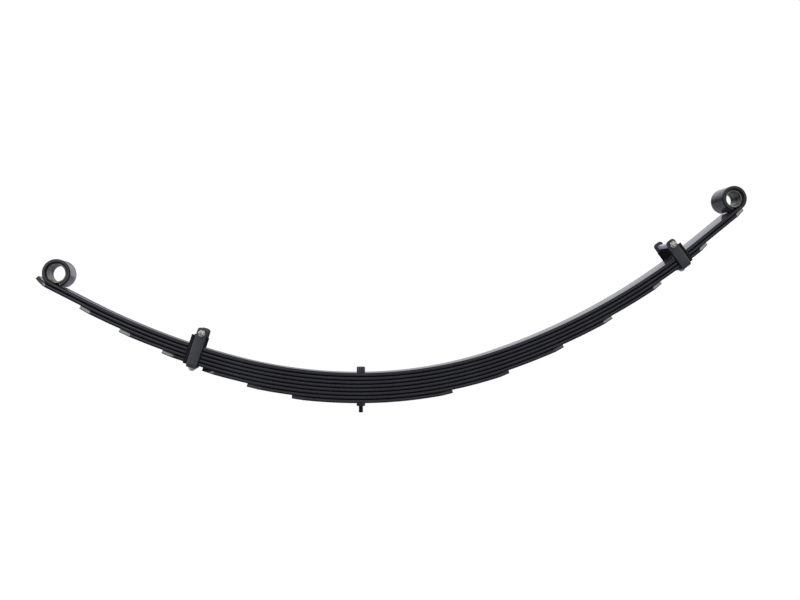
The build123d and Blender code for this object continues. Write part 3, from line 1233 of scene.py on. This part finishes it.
@dataclass(frozen=True)
class Finish:
    """A finish: its two tones, its patches and its grain, and how it takes the light.

    Sizes are in millimetres. The patches shift between the dark and the light tone, the marks are
    smaller spots of a third tone, and the grain is the relief that breaks up the highlights.
    Painted shade darkens a leaf's edge beside its joints with the next leaves, by the share given
    for it at most, standing in for the shade that falls in the grooves between leaves, and lowers
    the gloss there. marked_within keeps the marks that near to the middle across.
    """

    name: str
    dark: str
    light: str
    patch: float
    marks: str
    mark_size: float
    mark_share: float
    grain: float
    relief: float
    rough: tuple[float, float]
    metallic: float = 0.0
    specular: float = 0.5
    lay: Lay = Lay.PIECE
    stretch: float = 1.0
    # painted shade in the grooves between leaves: how deep at most, its tone, and where across and up it lies
    painted_joint_shade: float = 0.0
    marked_within: float = 0.0
    painted_shade_tone: str = "#040408"
    painted_shade_across: tuple[float, float] = (27.9, 28.7)
    painted_shade_up: tuple[float, float] = (0.9, 2.5)

    def coordinates(self, tree: bpy.types.NodeTree) -> bpy.types.NodeSocket:
        """Where on the surface the pattern is read."""
        if self.lay is Lay.ROLLED:
            place = add_node(tree, "ShaderNodeAttribute", attribute_name="lay").outputs["Vector"]
        else:
            place = add_node(tree, "ShaderNodeTexCoord").outputs["Object"]
        drawn = (1.0 / self.stretch, 1.0, 1.0)
        return add_node(tree, "ShaderNodeMapping", {"Vector": place, "Scale": drawn}).outputs[0]

    def inside(self, tree: bpy.types.NodeTree, share: bpy.types.Node) -> bpy.types.Node:
        """A share kept only within a distance of the piece's middle across."""
        place = add_node(tree, "ShaderNodeTexCoord").outputs["Object"]
        across = add_node(tree, PARTS, {0: place}).outputs[1]
        off = add_node(tree, MATH, {0: across}, operation="ABSOLUTE")
        limit = self.marked_within * MM
        kept = add_node(tree, MATH, {0: off, 1: limit}, operation="LESS_THAN")
        return add_node(tree, MATH, {0: kept, 1: share}, operation="MULTIPLY")

    def joint(self, tree: bpy.types.NodeTree) -> bpy.types.Node:
        """How much painted shade for the grooves between leaves lies on a leaf's edge."""
        lay = add_node(tree, "ShaderNodeAttribute", attribute_name="lay").outputs["Vector"]
        parts = add_node(tree, PARTS, {0: lay}).outputs
        shares = []
        for part, (begin, full), most in (
            (parts[1], self.painted_shade_across, 1.0),
            (parts[2], self.painted_shade_up, self.painted_joint_shade),
        ):
            off = add_node(tree, MATH, {0: part}, operation="ABSOLUTE")
            shares.append(add_node(tree, RANGE, {0: off, 1: begin * MM, 2: full * MM, 3: 0.0, 4: most}))
        return add_node(tree, MATH, dict(enumerate(shares)), operation="MULTIPLY")

    def build(self) -> bpy.types.Material:
        """Make the material."""
        material = bpy.data.materials.new(self.name)
        material.use_nodes = True
        tree = material.node_tree
        shader = tree.nodes["Principled BSDF"]
        place = self.coordinates(tree)
        patches, spots, sheen, relief = (
            add_node(
                tree,
                "ShaderNodeTexNoise",
                {"Vector": place, "Scale": per_mm(size), "Detail": detail, "Roughness": 0.6},
            )
            for size, detail in (
                (self.patch, 4.0),
                (self.mark_size, 3.0),
                (self.patch * SHEEN_SHARE, 3.0),
                (self.grain, 2.0),
            )
        )
        low, high = PATCH_SPAN
        share = add_node(tree, RANGE, {0: patches, 1: low, 2: high, 3: 0.0, 4: 1.0})
        edge = MARKS_NONE - MARKS_GAIN * self.mark_share
        spotted = add_node(tree, RANGE, {0: spots, 1: edge, 2: edge + MARKS_EDGE, 3: 0.0, 4: 1.0})
        if self.marked_within:
            spotted = self.inside(tree, spotted)
        shader.inputs["Specular IOR Level"].default_value = self.specular
        layers = [(share, self.light), (spotted, self.marks)]
        # painted shade: the grooves between leaves darken towards a near-black tone and lose their gloss
        if self.painted_joint_shade:
            shade = self.joint(tree)
            layers.append((shade, self.painted_shade_tone))
            dulled = {0: shade, 1: 0.0, 2: 1.0, 3: self.specular, 4: 0.0}
            gloss = add_node(tree, RANGE, dulled).outputs[0]
            tree.links.new(gloss, shader.inputs["Specular IOR Level"])
        colour = linear(self.dark)
        for over, tone in layers:
            mix = {0: over, 6: colour, 7: linear(tone)}
            colour = add_node(tree, "ShaderNodeMix", mix, data_type="RGBA").outputs[2]
        tree.links.new(colour, shader.inputs["Base Color"])
        low, high = SHEEN_SPAN
        rough = {0: sheen, 1: low, 2: high, 3: self.rough[0], 4: self.rough[1]}
        tree.links.new(add_node(tree, RANGE, rough).outputs[0], shader.inputs["Roughness"])
        raised = {"Strength": 1.0, "Distance": self.relief * MM, "Height": relief}
        bump = add_node(tree, "ShaderNodeBump", raised)
        tree.links.new(bump.outputs[0], shader.inputs["Normal"])
        shader.inputs["Metallic"].default_value = self.metallic
        return material


# Glossy black stoving enamel over shot-peened spring steel. The rolling leaves faint streaks along
# the leaf, and the peening, drawn coarser than its real half millimetre so that it shows, breaks
# the highlights up. Its edges beside the joints between leaves get painted shade.
ENAMELLED_LEAF = Finish(
    name="black enamel on shot-peened spring steel", dark="#1a1a20", light="#27282e", patch=16.0,
    marks="#303137", mark_size=5.0, mark_share=0.3, grain=3.0, relief=0.06, rough=(0.12, 0.24),
    lay=Lay.ROLLED, stretch=5.0, painted_joint_shade=0.84,
)
# Thin grey-black dip paint over hot-rolled strip: flatter and lighter than the leaves.
PAINTED_STRAP = Finish(
    name="grey dip paint on hot-rolled strip", dark="#2b2c32", light="#38393f", patch=18.0,
    marks="#222328", mark_size=4.0, mark_share=0.3, grain=2.5, relief=0.08, rough=(0.4, 0.55),
)
# Injection-moulded nylon: black all through, matt from the mould's texture.
MOULDED_NYLON = Finish(
    name="injection-moulded black nylon", dark="#06060a", light="#0d0d12", patch=12.0,
    marks="#15151a", mark_size=3.0, mark_share=0.2, grain=1.6, relief=0.05, rough=(0.5, 0.66),
    specular=0.2,
)
# The machined centre bolt, dipped with the pack: the same black, smoother than the leaves.
DIPPED_BOLT = Finish(
    name="black enamel on machined steel", dark="#15151a", light="#212228", patch=8.0,
    marks="#303136", mark_size=2.5, mark_share=0.35, grain=2.0, relief=0.05, rough=(0.32, 0.46),
)
# Zinc electroplate with a yellow passivation that has worn to silver on the proud parts.
PASSIVATED_ZINC = Finish(
    name="yellow-passivated zinc plate", dark="#a5a08c", light="#cfcdc4", patch=6.0,
    marks="#6f694f", mark_size=2.5, mark_share=0.45, grain=1.5, relief=0.04, rough=(0.26, 0.42),
    metallic=1.0,
)
# Clear-passivated zinc on drawn tube: a cool, faintly violet white.
PLATED_TUBE = Finish(
    name="clear-passivated zinc on drawn tube", dark="#a9a8b6", light="#c2c1cd", patch=9.0,
    marks="#918f9c", mark_size=3.0, mark_share=0.25, grain=1.8, relief=0.03, rough=(0.36, 0.5),
    metallic=0.7,
)
# Bare turned steel with storage oil on it, olive grey, with large near-black brown blotches that
# lie only away from the sleeve's ends, inside its bore.
OILED_STEEL = Finish(
    name="oiled bare turned steel", dark="#67655b", light="#a3a197", patch=12.0, marks="#1d1c14",
    mark_size=12.0, mark_share=0.7, grain=2.0, relief=0.06, rough=(0.3, 0.48), metallic=0.75,
    marked_within=22.5,
)
# Rivet heads, closed after the strap was painted: brushed-over steel, lighter than the strap.
CLOSED_RIVET = Finish(
    name="painted rivet steel", dark="#b4b6bc", light="#d0d1d6", patch=5.0, marks="#4c4d53",
    mark_size=2.5, mark_share=0.4, grain=1.8, relief=0.06, rough=(0.34, 0.5), metallic=0.3,
)


# ---------------------------------------------------------------------------------------------
# Studio
# ---------------------------------------------------------------------------------------------


@dataclass(frozen=True)
class Softbox:
    """A large soft lamp, placed and aimed in metres."""

    name: str
    location: tuple[float, float, float]
    aim: tuple[float, float, float]
    size: tuple[float, float]
    power: float

    def build(self) -> None:
        """Make the lamp."""
        lamp = bpy.data.lights.new(self.name, "AREA")
        lamp.shape = "RECTANGLE"
        lamp.size, lamp.size_y = self.size
        lamp.energy = self.power
        held = add_object(self.name, lamp)
        held.location = self.location
        aim = Vector(self.aim) - Vector(self.location)
        held.rotation_euler = aim.to_track_quat("-Z", "Y").to_euler()


@dataclass
class Studio:
    """White studio: floor, surroundings, lamps and camera."""

    floor_height: float = -0.34
    floor_size: float = 30.0
    camera_place: tuple[float, float, float] = (-0.1262, -2.0157, 0.0798)
    camera_yaw: float = 5.51
    camera_pitch: float = 1.30
    lens: float = 52.2
    sensor: float = 36.0
    clip_end: float = 200.0
    seen_level: float = 1.02  # of floor and surroundings, as the camera sees them
    paper: str = "#94949a"
    paper_rough: float = 0.9
    surround: str = "#f1f1fa"
    front_level: float = 0.92
    left_level: float = 0.11
    right_level: float = 0.84
    upper_level: float = 1.1
    left_to_right: tuple[float, float] = (-0.12, 0.16)  # where the levels change, by direction
    low_to_high: tuple[float, float] = (0.1, 0.4)
    front_to_back: tuple[float, float] = (-0.15, 0.2)
    softboxes: tuple[Softbox, ...] = (
        Softbox("overhead softbox", (0.1, 0.5, 1.7), (0.05, 0.0, 0.1), (2.6, 1.6), 26.0),
        Softbox("front fill", (-1.0, -2.4, 0.9), (0.0, 0.0, 0.1), (1.6, 1.2), 6.0),
        Softbox("left softbox", (-2.6, -0.5, 0.9), (-0.3, 0.0, 0.1), (0.9, 0.9), 14.0),
        Softbox("right softbox", (2.7, -0.3, 1.3), (0.4, 0.0, 0.1), (0.9, 0.9), 9.0),
    )

    def build_camera(self) -> None:
        """Put the camera where it looks at the spring from a little left of its middle."""
        camera = bpy.data.cameras.new("camera")
        camera.lens = self.lens
        camera.sensor_width = self.sensor
        camera.clip_end = self.clip_end
        held = add_object("camera", camera)
        held.location = self.camera_place
        turn = (math.radians(90 + self.camera_pitch), 0.0, -math.radians(self.camera_yaw))
        held.rotation_euler = turn
        bpy.context.scene.camera = held

    def build_floor(self) -> None:
        """Lay a floor that looks evenly white and bounces a little light."""
        half = self.floor_size / 2 / MM
        corners = [(-half, -half, 0), (half, -half, 0), (half, half, 0), (-half, half, 0)]
        vertices = np.array(corners, float) + (0, 0, self.floor_height / MM)
        floor = new_piece("floor", vertices, [[0, 1, 2, 3]])
        paper = bpy.data.materials.new("white paper sweep")
        paper.use_nodes = True
        tree = paper.node_tree
        shader = tree.nodes["Principled BSDF"]
        shader.inputs["Base Color"].default_value = linear(self.paper)
        shader.inputs["Roughness"].default_value = self.paper_rough
        white = {"Color": (1, 1, 1, 1), "Strength": self.seen_level}
        lit = add_node(tree, "ShaderNodeEmission", white)
        seen = add_node(tree, "ShaderNodeLightPath").outputs["Is Camera Ray"]
        both = add_node(tree, "ShaderNodeMixShader", {0: seen, 1: shader, 2: lit})
        tree.links.new(both.outputs[0], tree.nodes["Material Output"].inputs["Surface"])
        floor.data.materials.append(paper)
        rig.stage(floor)

    def build_world(self) -> None:
        """Surround the scene: white as seen, and lighting the spring evenly from the front.

        Behind the spring the light grows from dark on the left to bright on the right and above.
        """
        world = bpy.data.worlds.new("studio")
        bpy.context.scene.world = world
        world.use_nodes = True
        tree = world.node_tree
        tree.nodes.clear()
        way = add_node(tree, "ShaderNodeTexCoord").outputs["Generated"]
        parts = add_node(tree, "ShaderNodeSeparateXYZ", {0: way}).outputs
        (begin, end), low, high = self.left_to_right, self.left_level, self.right_level
        level = add_node(tree, RANGE, {0: parts[0], 1: begin, 2: end, 3: low, 4: high})
        (begin, end), high = self.low_to_high, self.upper_level
        level = add_node(tree, RANGE, {0: parts[2], 1: begin, 2: end, 3: level, 4: high})
        (begin, end), low = self.front_to_back, self.front_level
        level = add_node(tree, RANGE, {0: parts[1], 1: begin, 2: end, 3: low, 4: level})
        lit = {"Color": linear(self.surround), "Strength": level}
        around = add_node(tree, "ShaderNodeBackground", lit)
        white = {"Color": (1, 1, 1, 1), "Strength": self.seen_level}
        plain = add_node(tree, "ShaderNodeBackground", white)
        seen = add_node(tree, "ShaderNodeLightPath").outputs["Is Camera Ray"]
        both = add_node(tree, "ShaderNodeMixShader", {0: seen, 1: around, 2: plain})
        add_node(tree, "ShaderNodeOutputWorld", {0: both})

    def build(self) -> None:
        """Set up the whole studio."""
        bpy.context.scene.view_settings.view_transform = "Standard"
        self.build_world()
        self.build_floor()
        for softbox in self.softboxes:
            softbox.build()
        self.build_camera()


# ---------------------------------------------------------------------------------------------
# The spring
# ---------------------------------------------------------------------------------------------


@dataclass
class LeafSpring:
    """The whole spring: leaves, centre bolt, eye sleeves and rebound clips."""

    front_lengths: tuple[float, ...] = (490.0, 415.0, 337.0, 265.0, 188.0, 113.0)
    rear_lengths: tuple[float, ...] = (663.0, 556.0, 450.0, 352.0, 249.0, 150.0)
    wrap_rear: float = 754.0
    reach: float = 10_000.0
    clips: tuple[Clip, ...] = (
        Clip("front_clip", -283.0, 5, "front_clip"),
        Clip("rear_clip", 605.0, 3, "rear_end"),
    )

    def leaves(self) -> list[Leaf]:
        """The leaves, from the main one down."""
        reach = self.reach
        pack = [
            Leaf(1, reach, reach, "leaf_1_main"),
            Leaf(2, reach, self.wrap_rear, "leaf_2_wrap"),
        ]
        for number, ends in enumerate(zip(self.front_lengths, self.rear_lengths), start=3):
            pack.append(Leaf(number, *ends, f"leaf_{number}"))
        return pack

    def build(self) -> None:
        """Make every piece, let it ride on its body, and report it."""
        bar, thread = BarTree(), ThreadTree()
        enamel = ENAMELLED_LEAF.build()
        for leaf in self.leaves():
            for piece in leaf.build(bar, enamel):
                log.info("%s: %d faces", piece.name, len(piece.data.polygons))
        CentreBolt().build(thread, DIPPED_BOLT.build())
        oiled = OILED_STEEL.build()
        EyeSleeve(PACK.front, "front_eye_sleeve", "front_eye").build(oiled)
        EyeSleeve(PACK.rear, "rear_eye_sleeve", "rear_end").build(oiled)
        finishes = {
            "strap": PAINTED_STRAP.build(),
            "liner": MOULDED_NYLON.build(),
            "zinc": PASSIVATED_ZINC.build(),
            "spacer": PLATED_TUBE.build(),
            "rivet": CLOSED_RIVET.build(),
        }
        for clip in self.clips:
            clip.build(thread, finishes)


def main() -> None:
    """Build the spring and the studio, and write down the sizes."""
    logging.basicConfig(level=logging.INFO, format="%(name)s: %(message)s")
    LeafSpring().build()
    Studio().build()
    shown_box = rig.bounds()
    sizes = {
        "cad_box": [[float(x) for x in corner] for corner in cad_box],
        "visual_box": [[float(x) for x in corner] for corner in shown_box],
    }
    with open("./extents.json", "w") as target:
        json.dump(sizes, target)


if __name__ == "__main__":
    main()
